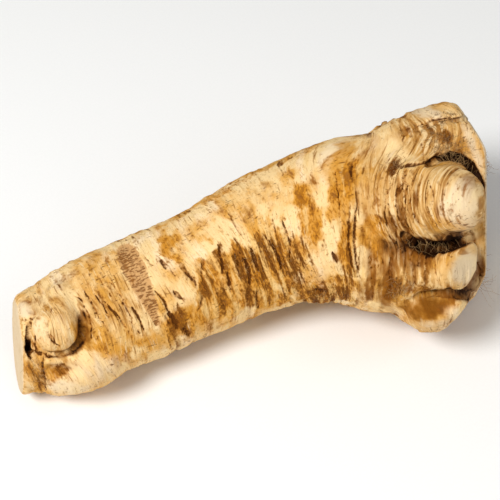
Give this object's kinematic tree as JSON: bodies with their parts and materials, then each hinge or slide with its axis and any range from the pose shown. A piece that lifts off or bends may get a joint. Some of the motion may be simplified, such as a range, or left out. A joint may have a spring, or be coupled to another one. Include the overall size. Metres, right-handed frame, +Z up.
{
  "type": "horseradish root",
  "caption": "Stout horseradish root, lying down, with a trimmed tip, a knobbed crown with cut stubs and ring-wrinkled bark.",
  "frame": {"origin": "centre of the base of the root's box, on the surface that it lies on", "axes": "+X from the trimmed tip to the crown, +Z up from the surface, and the nub and the stubs on the -Y side"},
  "size_m": [0.2227, 0.0986, 0.0925],
  "materials": {
    "bark": "matte cream root bark with brown wrinkles"
  },
  "bodies": {
    "root": {"horseradish_root": "bark"}
  },
  "joints": []
}
